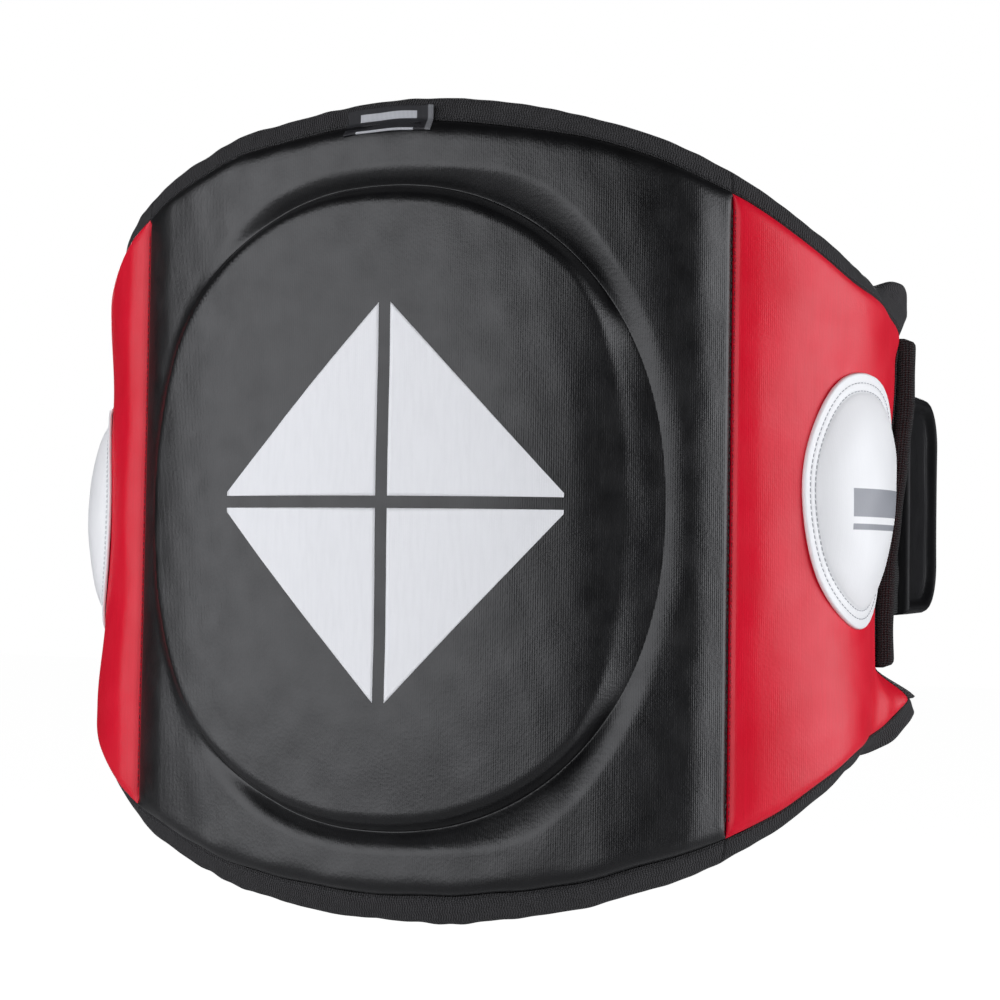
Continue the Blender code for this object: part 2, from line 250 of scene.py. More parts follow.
def ripple(u, v, size, seed):
    """Gentle random waves of about this size, between -1 and 1, the same on every run."""
    dice = np.random.RandomState(seed)
    total = 0
    for _ in range(6):
        turn = dice.uniform(0, TAU)
        pitch = size * dice.uniform(0.7, 1.6)
        phase = dice.uniform(0, TAU)
        total = total + np.sin(TAU * (u * math.cos(turn) + v * math.sin(turn)) / pitch + phase)
    return total / 3.5


def top(s):
    return smooth(TOP_EDGE, s) + 0.5 * MM * ripple(s, 0, 45 * MM, 11)


def bottom(s):
    sag = REAR_SAG * bell(np.abs(s) - REAR_SAG_S, REAR_SAG_WIDTH)
    return smooth(BOTTOM_EDGE, s) - sag + 0.5 * MM * ripple(s, 0, 45 * MM, 12)


def seam(s):
    return smooth(SEAM_DEPTH, s)


def back(s):
    return smooth(BACK_DEPTH, s)


def plan(s):
    """Outer surface in plan at s: x, y and the direction of travel, for the +X side."""
    q = np.abs(s)
    front = q < FRONT_HALF
    a = np.where(front, q / FRONT_RADIUS, FRONT_TURN + (q - FRONT_HALF) / WING_RADIUS)
    seam_x = FRONT_RADIUS * math.sin(FRONT_TURN)
    seam_y = FRONT_RADIUS * (1 - math.cos(FRONT_TURN))
    wing_x = seam_x + WING_RADIUS * (np.sin(a) - math.sin(FRONT_TURN))
    wing_y = seam_y + WING_RADIUS * (math.cos(FRONT_TURN) - np.cos(a))
    x = np.where(front, FRONT_RADIUS * np.sin(a), wing_x)
    y = np.where(front, FRONT_RADIUS * (1 - np.cos(a)), wing_y)
    return x, y, a


def flare(s, z):
    """How far a wing stands out near its rear corners."""
    low = LOW_FLARE * step(np.abs(s), *LOW_FLARE_S) * step(-z, *LOW_FLARE_Z)
    high = HIGH_FLARE * step(np.abs(s), *HIGH_FLARE_S) * step(z, *HIGH_FLARE_Z)
    bulge = step(-z, 60 * MM, 110 * MM) - 0.5 * bell(z - 60 * MM, 40 * MM)
    belly = BELLY * bell(np.abs(s) - BELLY_S, 40 * MM) * bulge
    return low + high + belly


def twist(s, z):
    """How far a wing's rear end leans inward, most at its foot."""
    return TWIST * step(np.abs(s), *TWIST_S) * step(-z, *TWIST_Z)


def place(s, z, depth, flared=1.0):
    """World points at s, z and depth; negative s is the -X side, and flared 0 leaves the corners flat."""
    s, z, depth = np.broadcast_arrays(s, z, depth)
    x, y, a = plan(s)
    inward = depth - flared * flare(s, z) + twist(s, z)
    x = x - inward * np.sin(a)
    y = y + inward * np.cos(a) - BACK_DEPTH[0][1]
    return np.stack([np.where(s < 0, -x, x), y, z], axis=-1)


def crease(s, z):
    """Distance outward from the oval crease, its direction in s and z, and the oval's radius, 1 on it."""
    away_s, away_z = s - GROOVE_CENTER[0], z - GROOVE_CENTER[1]
    u = np.abs(away_s) / GROOVE_HALF_WIDTH + 1e-6
    v = np.abs(away_z) / GROOVE_HALF_HEIGHT + 1e-6
    rho = (u**GROOVE_POWER + v**GROOVE_POWER) ** (1 / GROOVE_POWER)
    slope_s = np.sign(away_s) * (u / rho) ** (GROOVE_POWER - 1) / GROOVE_HALF_WIDTH
    slope_z = np.sign(away_z) * (v / rho) ** (GROOVE_POWER - 1) / GROOVE_HALF_HEIGHT
    size = np.hypot(slope_s, slope_z)
    return (rho - 1) / size, slope_s / size, slope_z / size, rho


def relief(s, z):
    """How far the moulded front stands proud of the plain surface, below 0 in the crease."""
    away, _, _, rho = crease(s, z)
    left = step(s, *LEFT_S)
    right = step(-s, *RIGHT_S)
    brim = BRIM_RISE * step(s, *BRIM_S)
    quarter = bell(s - QUARTER_S[0], QUARTER_S[1])
    deep = GROOVE_DEEP * (1 - RIGHT_SHARE * right - LEFT_SHARE * left) + QUARTER_DEEP * quarter
    blunt = np.hypot(away, CREASE_BLUNT)
    outside = GROOVE_OUTSIDE * (1 + QUARTER_WIDER * quarter)
    outer = deep * np.clip(1 - blunt / outside, 0, 1) ** CREASE_OUTSIDE
    outer = outer - brim * (1 - np.exp(-np.abs(away) / BRIM_WIDTH))
    inside = GROOVE_INSIDE * (1 + LEFT_WIDER * left)
    inner = deep * np.clip(1 - blunt / inside, 0, 1) ** CREASE_INSIDE
    rise = -np.where(away < 0, inner, outer)
    plateau = DISC_RISE * (1 + RIGHT_RISE * right - left)
    rise += DISC_CROWN * np.clip(1 - rho**2, 0, 1) + plateau * step(-away, -2 * MM, 6 * MM)
    return rise + 0.5 * MM * ripple(s, z, 90 * MM, 5) + 0.12 * MM * ripple(s, z, 22 * MM, 6)


def gathered(s, z):
    """The same grid of s and z with its lines drawn closer together beside the crease."""
    away, along_s, along_z, _ = crease(s, z)
    share = np.clip(away / CREASE_ZONE, -1, 1)
    drawn = CREASE_ZONE * share * (CREASE_PACKED + (1 - CREASE_PACKED) * share**2)
    shift = np.where(np.abs(share) < 1, drawn - away, 0)
    return s + shift * along_s, z + shift * along_z


def seam_fade(s):
    """Share of the relief that is left at s: none in the side seam itself."""
    return step(FRONT_HALF - np.abs(s), 0, np.where(s < 0, *SEAM_FADE))


def seam_dip(s):
    """How deep leather lies near a side seam: it falls away towards the seam, then rolls under."""
    away = np.abs(np.abs(s) - FRONT_HALF)
    valley = np.where(s < 0, *SEAM_VALLEY)
    width = np.where(np.abs(s) < FRONT_HALF, FRONT_VALLEY_WIDTH, WING_VALLEY_WIDTH)
    inside = np.clip(SEAM_ROLL - away, 0, SEAM_ROLL)
    roll = SEAM_ROLL - np.sqrt(SEAM_ROLL**2 - inside**2)
    return roll + valley * np.clip(1 - away / width, 0, 1) ** VALLEY_POWER


# ---- meshes


def add(name, data):
    """New object in the scene."""
    made = bpy.data.objects.new(name, data)
    bpy.context.scene.collection.objects.link(made)
    return made


def make(name, points, faces, uv, look):
    """Closed mesh piece with its faces outward, smooth shading and the cloth coordinates."""
    data = bpy.data.meshes.new(name)
    data.from_pydata(points.reshape(-1, 3).tolist(), [], [list(map(int, f)) for f in faces])
    mesh = bmesh.new()
    mesh.from_mesh(data)
    bmesh.ops.recalc_face_normals(mesh, faces=mesh.faces)
    layer = mesh.loops.layers.uv.new("surface")
    flat = uv.reshape(-1, 2).tolist()
    for face in mesh.faces:
        face.smooth = True
        for loop in face.loops:
            loop[layer].uv = flat[loop.vert.index]
    mesh.to_mesh(data)
    mesh.free()
    data.materials.append(look)
    return add(name, data)


def quads(index):
    """Faces between neighbours of a grid of vertex numbers."""
    corners = (index[:-1, :-1], index[1:, :-1], index[1:, 1:], index[:-1, 1:])
    return np.stack(corners, axis=-1).reshape(-1, 4)


def slab(name, outer, inner, uv, look):
    """Sheet with a thickness: two grids of points, joined round their border."""
    rows, columns = outer.shape[:2]
    count = rows * columns
    index = np.arange(count).reshape(rows, columns)
    border = np.concatenate([index[0, :-1], index[:-1, -1], index[-1, :0:-1], index[:0:-1, 0]])
    after = np.roll(border, -1)
    edge = np.stack([border, after, after + count, border + count], axis=-1)
    faces = np.concatenate([quads(index), quads(index[::-1] + count), edge])
    points = np.concatenate([outer.reshape(-1, 3), inner.reshape(-1, 3)])
    return make(name, points, faces, np.concatenate([uv.reshape(-1, 2)] * 2), look)


def ring_faces(count, around):
    """Faces of a closed body of this many rings of points, capped at both ends."""
    index = np.arange(count * around).reshape(count, around)
    wrapped = np.concatenate([index, index[:, :1]], axis=1)
    return quads(wrapped).tolist() + [index[0].tolist(), index[-1].tolist()]


def tube(name, rings, uv, look):
    """Closed body through rings of points."""
    return make(name, rings, ring_faces(*rings.shape[:2]), uv, look)


def normals(grid):
    """Unit normals of a grid of points."""
    along = np.gradient(grid, axis=0)
    across = np.gradient(grid, axis=1)
    n = np.cross(along, across)
    return n / (np.linalg.norm(n, axis=-1, keepdims=True) + 1e-12)


def turned(n, toward):
    """Normals turned to the side that toward points to."""
    return n * np.sign(np.sum(n * toward, axis=-1, keepdims=True))


def cloth(u, v):
    """Cloth coordinates of a grid of points."""
    return np.stack(np.broadcast_arrays(u, v), axis=-1)


def panel(name, s, z, depth, thickness, look, uv=None):
    """Sheet laid on the pad at s, z and depth; its thickness goes inward, or outward when it is below 0."""
    outer = place(s, z, depth)
    n = turned(normals(outer), place(s, z, depth + MM) - outer)
    if uv is None:
        uv = cloth(s, z)
    return slab(name, outer, outer + n * thickness, uv, look)


def thread(name, path, out, look, radius):
    """Row of stitches: a short capsule along most of each step of the path, sunk at both ends."""
    fill = 0.82
    start, end = path[:-1], path[1:]
    along = end - start
    length = np.linalg.norm(along, axis=1, keepdims=True)
    along /= length
    up = out[:-1] - along * np.sum(out[:-1] * along, axis=1, keepdims=True)
    up /= np.linalg.norm(up, axis=1, keepdims=True)
    side = np.cross(along, up)
    profile = ((-0.5, 0.35, -0.9), (-0.38, 0.9, 0.0), (0.0, 1.0, 0.35), (0.38, 0.9, 0.0), (0.5, 0.35, -0.9))
    around = 6
    rings = []
    for share, wide, lift in profile:
        middle = (start + end) / 2 + along * length * share * fill + up * radius * lift
        ring = []
        for i in range(around):
            a = TAU * i / around
            ring.append(middle + radius * wide * (side * math.cos(a) + up * math.sin(a)))
        rings.append(np.stack(ring, axis=1))
    points = np.stack(rings, axis=1)
    count, levels = points.shape[:2]
    single = ring_faces(levels, around)
    faces = [[v + levels * around * k for v in face] for k in range(count) for face in single]
    u = np.broadcast_to(np.arange(levels)[None, :, None] * MM, points.shape[:3])
    return make(name, points, faces, cloth(u, np.arange(around) * MM), look)


def spaced(path, pitch):
    """Positions along a dense path, evenly spaced by about this pitch, as float row numbers."""
    lengths = np.concatenate([[0], np.cumsum(np.linalg.norm(np.diff(path, axis=0), axis=1))])
    count = max(2, int(round(lengths[-1] / pitch)) + 1)
    return np.interp(np.linspace(0, lengths[-1], count), lengths, np.arange(len(path)))


def sample(values, rows):
    """Values at float row numbers."""
    columns = [np.interp(rows, np.arange(len(values)), values[:, k]) for k in range(values.shape[1])]
    return np.stack(columns, axis=-1)


def sew(name, path, out, look, pitch, radius):
    """Row of stitches of this pitch along a dense path; out points away from the cloth."""
    rows = spaced(path, pitch)
    return thread(name, sample(path, rows), sample(out, rows), look, radius)


# ---- materials


def node(tree, kind, inputs=(), **settings):
    """New node: each input is linked when it is a socket, and set when it is a value."""
    made = tree.nodes.new(kind)
    for key, value in settings.items():
        setattr(made, key, value)
    for socket, value in dict(inputs).items():
        if isinstance(value, bpy.types.NodeSocket):
            tree.links.new(value, made.inputs[socket])
        else:
            made.inputs[socket].default_value = value
    return made


class Look:
    """Procedural material in the making: a Principled shader and short calls that add its nodes."""

    def __init__(self, name, color, roughness, **fixed):
        self.material = bpy.data.materials.new(name)
        self.material.use_nodes = True
        self.material.diffuse_color = (*color, 1)
        self.tree = self.material.node_tree
        self.shader = self.tree.nodes["Principled BSDF"]
        self.shader.inputs["Base Color"].default_value = (*color, 1)
        self.shader.inputs["Roughness"].default_value = roughness
        for socket, value in fixed.items():
            self.shader.inputs[socket.replace("_", " ")].default_value = value
        self.flat = self.node("ShaderNodeUVMap", uv_map="surface").outputs["UV"]

    def node(self, kind, inputs=(), **settings):
        return node(self.tree, kind, inputs, **settings)

    def math(self, operation, a, b=0.0):
        return self.node("ShaderNodeMath", {0: a, 1: b}, operation=operation).outputs[0]

    def plus(self, a, b):
        return self.math("ADD", a, b)

    def times(self, a, b):
        return self.math("MULTIPLY", a, b)

    def scaled(self, u, v):
        """Cloth coordinates times u and v."""
        inputs = {"Vector": self.flat, "Scale": (u, v, 1)}
        return self.node("ShaderNodeMapping", inputs, vector_type="POINT").outputs[0]

    def noise(self, scale, detail, vector=None):
        inputs = {"Vector": vector or self.flat, "Scale": scale, "Detail": detail}
        return self.node("ShaderNodeTexNoise", inputs).outputs[0]

    def cells(self, scale):
        inputs = {"Vector": self.flat, "Scale": scale}
        return self.node("ShaderNodeTexVoronoi", inputs).outputs["Distance"]

    def axis(self, name):
        return self.node("ShaderNodeSeparateXYZ", {0: self.flat}).outputs[name]

    def wave(self, coordinate, pitch):
        """Sine of a coordinate in metres, from -1 to 1, with this pitch."""
        return self.math("SINE", self.times(coordinate, TAU / pitch))

    def band(self, value, low, high, to_low=0.0, to_high=1.0):
        inputs = {"Value": value, "From Min": low, "From Max": high, "To Min": to_low, "To Max": to_high}
        return self.node("ShaderNodeMapRange", inputs, clamp=True).outputs[0]

    def near(self, value, middle, half):
        """1 where the value lies within half of the middle, and 0 beyond it."""
        away = self.math("ABSOLUTE", self.math("SUBTRACT", value, middle))
        return self.band(away, half + 0.1 * MM, half - 0.1 * MM)

    def mix(self, factor, a, b):
        """Colour between a and b."""
        a, b = (c if isinstance(c, bpy.types.NodeSocket) else (*c, 1) for c in (a, b))
        return self.node("ShaderNodeMix", {0: factor, 6: a, 7: b}, data_type="RGBA").outputs[2]

    def link(self, value, socket):
        self.tree.links.new(value, self.shader.inputs[socket])

    def color(self, value):
        self.link(value, "Base Color")

    def bump(self, height, distance, strength=1.0, below=None):
        inputs = {"Height": height, "Distance": distance, "Strength": strength}
        if below is not None:
            inputs["Normal"] = below
        made = self.node("ShaderNodeBump", inputs)
        self.link(made.outputs[0], "Normal")
        return made.outputs[0]


def leather(name, dark, light, roughness, ribs, grain, **fixed):
    """Synthetic leather: fine upright ribs of the backing cloth, a small pebble grain and uneven sheen."""
    look = Look(name, light, roughness, **fixed)
    tone = look.noise(22, 3)
    streaks = look.noise(1.0, 3, look.scaled(900, 26))
    shade = look.plus(look.times(tone, 0.6), look.times(streaks, 0.4))
    look.color(look.mix(look.band(shade, 0.35, 0.65), dark, light))
    cloudy = look.noise(60, 4)
    look.link(look.band(cloudy, 0.3, 0.7, roughness - 0.05, roughness + 0.06), "Roughness")
    rib = look.wave(look.axis("X"), 1.1 * MM)
    rib = look.times(rib, look.noise(1.0, 2, look.scaled(300, 60)))
    below = look.bump(rib, ribs)
    pebbles = look.plus(look.cells(620), look.times(look.noise(1800, 2), 0.5))
    below = look.bump(pebbles, grain, 1.0, below)
    look.bump(look.noise(45, 3), 1.2 * MM, 0.25, below)
    return look


def white_leather(name):
    """White synthetic leather with two plain grey bars printed across it."""
    look = leather(name, (0.90, 0.905, 0.91), (0.93, 0.935, 0.94), 0.42, 0.008 * MM, 0.02 * MM)
    z = look.axis("Y")
    s = look.axis("X")
    inside = look.near(s, 0, 24 * MM)
    wide = look.near(z, -2 * MM, 7 * MM)
    thin = look.near(z, -14 * MM, 1.5 * MM)
    bars = look.times(inside, look.math("MAXIMUM", wide, thin))
    base = look.shader.inputs["Base Color"].links[0].from_socket
    look.color(look.mix(bars, base, (0.30, 0.31, 0.34)))
    return look


def woven(name, dark, light, pitch, lean, deep):
    """Ribbed tape: ribs that lean one way and then the other, as in a herringbone weave, with painted light
    on the rib crests and painted shade in the gaps between them.
    """
    look = Look(name, light, 0.85)
    across = look.math("PINGPONG", look.axis("Y"), 2.6 * MM)
    slanted = look.plus(look.axis("X"), look.times(across, lean))
    rib = look.wave(slanted, pitch)
    thread_marks = look.wave(look.axis("Y"), 0.9 * MM)
    height = look.plus(rib, look.times(thread_marks, 0.45))
    fuzz = look.noise(2600, 2)
    # Colour follows the rib height: painted light on the crests and painted shade in the gaps, plus random
    # tone.
    tone = look.plus(look.band(height, -1.2, 1.3), look.times(look.noise(160, 3), 0.35))
    look.color(look.mix(look.band(tone, 0.15, 1.15), dark, light))
    below = look.bump(height, deep)
    look.bump(fuzz, 0.2 * MM, 0.6, below)
    return look


def meshed(name):
    """Air mesh: rows of small holes in a knitted cloth, with painted shade in the holes."""
    look = Look(name, (0.02, 0.02, 0.022), 0.9, Sheen_Weight=0.15)
    rows = look.wave(look.axis("X"), 4.2 * MM)
    steps = look.wave(look.axis("Y"), 3.0 * MM)
    cloth = look.band(look.times(rows, steps), 0.75, 0.35)
    # Painted shade in the holes, with random tone on the cloth.
    tone = look.times(cloth, look.band(look.noise(90, 3), 0.2, 0.8, 0.75, 1.0))
    look.color(look.mix(tone, (0.004, 0.004, 0.005), (0.055, 0.055, 0.060)))
    below = look.bump(cloth, 0.6 * MM, 0.8)
    look.bump(look.noise(900, 2), 0.2 * MM, 0.5, below)
    return look


def foam(name, color):
    """Cut foam with open pores, with painted shade in the pores."""
    look = Look(name, color, 0.95)
    pores = look.cells(700)
    # Painted shade in the pores.
    darker = tuple(c * 0.7 for c in color)
    look.color(look.mix(look.band(pores, 0.1, 0.5), darker, color))
    look.bump(pores, 0.4 * MM, 0.6)
    return look


def spun(name, color):
    """Sewing thread: tight twist along its length, with painted shade in the grooves of the twist."""
    look = Look(name, color, 0.5)
    twist = look.wave(look.plus(look.axis("X"), look.axis("Y")), 1.3 * MM)
    # Painted shade: darker in the grooves of the twist.
    look.color(look.mix(look.band(twist, -1, 1), tuple(c * 0.55 for c in color), color))
    look.bump(twist, 0.06 * MM, 0.7)
    return look


def gripping(name, color, size, deep):
    """Touch fastener: hooks or loops standing close together, with painted light on their tips and painted
    shade between them.
    """
    look = Look(name, color, 0.9, Sheen_Weight=0.3)
    pile = look.cells(1 / size)
    # Painted light on the tips of the pile and painted shade in the hollows between them.
    painted_tip_light, painted_pile_shade = (tuple(c * share for c in color) for share in (2.2, 0.4))
    look.color(look.mix(look.band(pile, 0.1, 0.6), painted_tip_light, painted_pile_shade))
    below = look.bump(look.math("SUBTRACT", 1.0, pile), deep)
    look.bump(look.noise(1500, 3), deep, 0.5, below)
    return look


def printed(name):
    """White screen print over the leather, with the ribs and the grain showing through."""
    look = Look(name, (0.80, 0.81, 0.83), 0.4)
    worn = look.noise(1.0, 4, look.scaled(500, 60))
    look.color(look.mix(look.band(worn, 0.3, 0.6), (0.83, 0.835, 0.85), (0.86, 0.865, 0.88)))
    below = look.bump(look.wave(look.axis("X"), 1.1 * MM), 0.012 * MM)
    look.bump(look.cells(620), 0.03 * MM, 1.0, below)
    return look


def label_weave(name):
    """Satin-woven label, blank but for one pale woven stripe, a pale hem thread and a painted highlight
    along its folded end.
    """
    look = Look(name, (0.012, 0.012, 0.014), 0.55)
    stripe = look.near(look.axis("Y"), 8.2 * MM, 1.9 * MM)
    ends = look.near(look.axis("X"), -4 * MM, 15.2 * MM)
    weave = look.wave(look.axis("X"), 0.7 * MM)
    # Lighter on the raised weave and darker between: painted light and shade on the threads.
    pale = look.mix(look.band(weave, -1, 1), (0.42, 0.43, 0.45), (0.62, 0.63, 0.66))
    dark = look.mix(look.band(weave, -1, 1), (0.008, 0.008, 0.01), (0.022, 0.022, 0.026))
    hem = look.times(look.band(look.axis("Y"), 1.0 * MM, 0.8 * MM), ends)
    # Painted highlight along the folded end.
    fold = look.band(look.axis("X"), LABEL_RIGHT - 3.0 * MM, LABEL_RIGHT - 2.4 * MM, 0.0, 0.35)
    marks = look.math("MAXIMUM", look.math("MAXIMUM", look.times(stripe, ends), hem), fold)
    look.color(look.mix(marks, dark, pale))
    look.bump(look.plus(weave, look.wave(look.axis("Y"), 0.5 * MM)), 0.06 * MM, 0.8)
    return look


def make_looks():
    """Every material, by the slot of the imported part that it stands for, and the threads."""
    black = ((0.0018, 0.0018, 0.0021), (0.0034, 0.0034, 0.0042))
    red = ((0.70, 0.0025, 0.020), (0.79, 0.0035, 0.028))
    glossy = ((0.003, 0.003, 0.0035), (0.005, 0.005, 0.006))
    # In tape and rough, the dark colour is painted shade in the weave's gaps and the light one is painted
    # light on its crests.
    tape = ((0.002, 0.002, 0.002), (0.055, 0.053, 0.056))
    rough = ((0.003, 0.003, 0.003), (0.050, 0.049, 0.050))
    looks = {
        "black_pu": leather("black_leather", *black, 0.35, 0.03 * MM, 0.05 * MM, Specular_IOR_Level=0.60),
        "red_pu": leather("red_leather", *red, 0.40, 0.02 * MM, 0.04 * MM, Specular_IOR_Level=0.36),
        "white_pu": white_leather("white_leather"),
        "gloss_pu": leather("gloss_leather", *glossy, 0.45, 0.0, 0.03 * MM, Specular_IOR_Level=0.15),
        "binding_tape": woven("ribbed_tape", *tape, 1.3 * MM, 0.3, 0.25 * MM),
        "webbing": woven("rough_webbing", *rough, 1.3 * MM, 0.2, 0.4 * MM),
        "lining": meshed("air_mesh"),
        "dense_foam": foam("dense_foam", (0.05, 0.05, 0.06)),
        "soft_foam": foam("soft_foam", (0.60, 0.60, 0.55)),
        "fastener_hook": gripping("hook_pile", (0.015, 0.015, 0.016), 1.2 * MM, 0.8 * MM),
        "fastener_loop": gripping("loop_pile", (0.02, 0.02, 0.022), 0.7 * MM, 0.5 * MM),
        "white_print": printed("white_print"),
        "label_weave": label_weave("label_satin"),
        "black_thread": spun("black_thread", (0.03, 0.03, 0.032)),
        "grey_thread": spun("grey_thread", (0.10, 0.10, 0.11)),
        "white_thread": spun("white_thread", (0.62, 0.63, 0.66)),
        "red_thread": spun("red_thread", (0.42, 0.01, 0.03)),
    }
    return {key: look.material for key, look in looks.items()}


looks = make_looks()


# ---- putting pieces on the frame


def finish_piece(piece, body, nodes=()):
    """Rides the piece on its body, or bakes its placement into its mesh and leaves it unattached when body
    is a side's sign.
    """
    if body in (1, -1):
        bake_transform(piece)
    else:
        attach(piece, body)
    if nodes:
        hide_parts(*nodes)


# ---- skins, linings and foam


def panel_rows(s, depth_at, face_rows):
    """Heights, depths and relief weights across a sewn panel, from its top seam to its bottom seam.

    Each row has its height, its share of the way from the flange to the face, and its weight.
    """
    middle = seam(s)
    toward = np.sign(depth_at(s) - middle)
    flange = middle + toward * (GAP / 2 + SKIN)
    deep = np.abs(depth_at(s) - flange)
    roll = ROLL_BASE + ROLL_SHARE * deep
    high, low = top(s), bottom(s)
    turns = np.linspace(0, math.pi / 2, 12)[:-1]
    rounds = [(math.cos(t) ** (2 / ROLL_POWER), math.sin(t) ** (2 / ROLL_POWER)) for t in turns]
    rows = [(high + 3.5 * MM, 0, 0), (high + 1.5 * MM, 0, 0)]
    rows += [(high - roll + roll * c, n, step(n, 0.3, 1.1)) for c, n in rounds]
    face = np.linspace(0, 1, face_rows)
    rows += [(high - roll + (low + 2 * roll - high) * share, 1, 1) for share in face]
    rows += [(low + roll - roll * c, n, step(n, 0.3, 1.1)) for c, n in rounds[::-1]]
    rows += [(low - 1.5 * MM, 0, 0), (low - 3.5 * MM, 0, 0)]
    z = np.stack([row[0] for row in rows], -1)
    share, weight = (np.array([row[k] for row in rows]) + 0 * z for k in (1, 2))
    return z, (flange + toward * deep * share.T).T, weight


def columns(low, high, pitch, low_edge=False, high_edge=False):
    """Values of s from low to high, closer together in the roll beside a sewn edge."""
    near = SEAM_ROLL * (1 - np.cos(np.linspace(0, math.pi / 2, 8)))
    inner_low = low + (SEAM_ROLL if low_edge else 0)
    inner_high = high - (SEAM_ROLL if high_edge else 0)
    count = int(round((inner_high - inner_low) / pitch))
    s = np.linspace(inner_low, inner_high, count + 1)
    if low_edge:
        s = np.concatenate([low + near[:-1], s])
    if high_edge:
        s = np.concatenate([s, high - near[:-1][::-1]])
    return s


def across_front(pitch, sewn=False):
    return columns(GAP / 2 - FRONT_HALF, FRONT_HALF - GAP / 2, pitch, sewn, sewn)


def across_wing(side, pitch, sewn=False):
    return side * columns(FRONT_HALF + GAP / 2, WING_END, pitch, sewn)


def outer_face(s):
    return 0.0 * s


def front_skin():
    """Moulded front leather, slightly puckered beside the tape."""
    s = across_front(1.7 * MM, sewn=True)
    z, depth, weight = panel_rows(s, outer_face, 215)
    s, z = gathered(s[:, None] + 0 * z, z)
    dip = seam_dip(s)
    pucker = 0.5 * MM * ripple(s, z, 30 * MM, 21) * np.exp(-(top(s) - z) / (14 * MM))
    pucker += 0.5 * MM * ripple(s, z, 30 * MM, 22) * np.exp(-(z - bottom(s)) / (14 * MM))
    depth = depth + dip * weight - relief(s, z) * weight * seam_fade(s) - pucker * weight
    piece = panel("front_leather", s, z, depth, SKIN, looks["black_pu"])
    finish_piece(piece, "front", ("front_skin",))


def wing_waves(s, z):
    """Soft upright folds that gather towards a wing's end, and slight unevenness."""
    q = np.abs(s)
    near_end = step(q, 285 * MM, 325 * MM) * step(-z, 20 * MM, 70 * MM)
    folds = 1.1 * MM * np.sin(TAU * (q - 0.12 * z) / (24 * MM)) * near_end
    return folds + 0.5 * MM * ripple(s, z, 70 * MM, 31)


def wing_skin(side, word):
    """Red leather of a wing, rolled in at the side seam."""
    s = across_wing(side, 2.4 * MM, sewn=True)
    z, depth, weight = panel_rows(s, outer_face, 110)
    s = s[:, None] + 0 * z
    away = np.abs(s) - FRONT_HALF - GAP / 2
    fade = step(away, 0, 20 * MM)
    depth = depth + seam_dip(s) * weight - wing_waves(s, z) * weight * fade
    piece = panel(f"{word}_wing_leather", s, z, depth, SKIN, looks["red_pu"])
    finish_piece(piece, side, (f"{word}_wing_skin",))


def lining(name, s, body, nodes):
    """Mesh lining on the trainer's side, soft and slightly quilted over the comfort foam."""
    z, depth, weight = panel_rows(s, back, 90)
    s = s[:, None] + 0 * z
    away = np.abs(np.abs(s) - FRONT_HALF)
    seam_pull = 3.5 * MM * np.exp(-away / (5 * MM))
    row = np.abs((z + 200 * MM) % (70 * MM) - 35 * MM)
    quilt = 2.2 * MM * np.exp(-row / (5 * MM)) * step(back(s) - seam(s), 8 * MM, 20 * MM)
    depth = depth - (seam_pull + quilt + 0.6 * MM * ripple(s, z, 60 * MM, 41)) * weight
    piece = panel(name, s, z, depth, -SKIN, looks["lining"])
    finish_piece(piece, body, nodes)


def foam_block(name, s, faces, look, body, nodes):
    """Foam between two depths, inset from the sheets round it."""
    share = np.linspace(0, 1, 60)
    inset = 5 * MM
    z = (top(s) - inset)[:, None] * (1 - share) + (bottom(s) + inset)[:, None] * share
    s = s[:, None] + 0 * z
    near, far = faces(s, z)
    edge = np.minimum(top(s) - z, z - bottom(s)) - inset
    roll = ROLL_BASE + ROLL_SHARE * np.abs(far - near)
    inside = np.clip((roll - edge) / roll, 0, 1)
    drop = 1 - np.sqrt(1 - inside**2)
    swap = np.abs(near - seam(s)) > np.abs(far - seam(s))
    near = np.where(swap, near + (far - near) * drop, near)
    far = np.where(swap, far, far - (far - near) * drop)
    outer = place(s, z, near)
    inner = place(s, z, far)
    piece = slab(name, outer, inner, cloth(s, z), looks[look])
    finish_piece(piece, body, nodes)


def moulded_faces(s, z):
    """Depths of the dense foam, which follows the leather's relief from behind."""
    clear = FOAM_CLEAR * bell(crease(s, z)[0], 9 * MM)
    rise = np.where(np.abs(s) < FRONT_HALF, (relief(s, z) - clear) * seam_fade(s), 0)
    near = seam_dip(s) - rise + SKIN + 0.8 * MM
    return near, np.maximum(seam(s) - GAP, near + 1.2 * MM)


def core_faces(s, z):
    """Depths of the soft foam, between the dense foam and the lining."""
    under = moulded_faces(s, z)[1] + GAP
    quilting = 7 * MM * step(back(s), 12 * MM, 30 * MM)
    return under, np.maximum(back(s) - SKIN - quilting, under + 1.0 * MM)


def foams():
    blocks = (("moulded", moulded_faces, "dense_foam"), ("core", core_faces, "soft_foam"))
    for kind, faces, look in blocks:
        s = np.linspace(2 * MM - FRONT_HALF, FRONT_HALF - 2 * MM, 110)
        foam_block(f"front_{kind}_block", s, faces, look, "front", (f"front_{kind}_foam",))
        for side, word in WORDS:
            s = side * np.linspace(FRONT_HALF + 2 * MM, 312 * MM, 60)
            foam_block(f"{word}_wing_{kind}_block", s, faces, look, side, (f"{word}_wing_{kind}_foam",))


# ---- binding tape


def kinks(s, seed, size):
    """Uneven reach of hand-guided tape: straight stretches between small kinks."""
    dice = np.random.RandomState(seed)
    knots = np.cumsum(dice.uniform(22 * MM, 52 * MM, 40)) - 420 * MM
    return size * np.interp(s, knots, dice.uniform(-1, 1, 40))


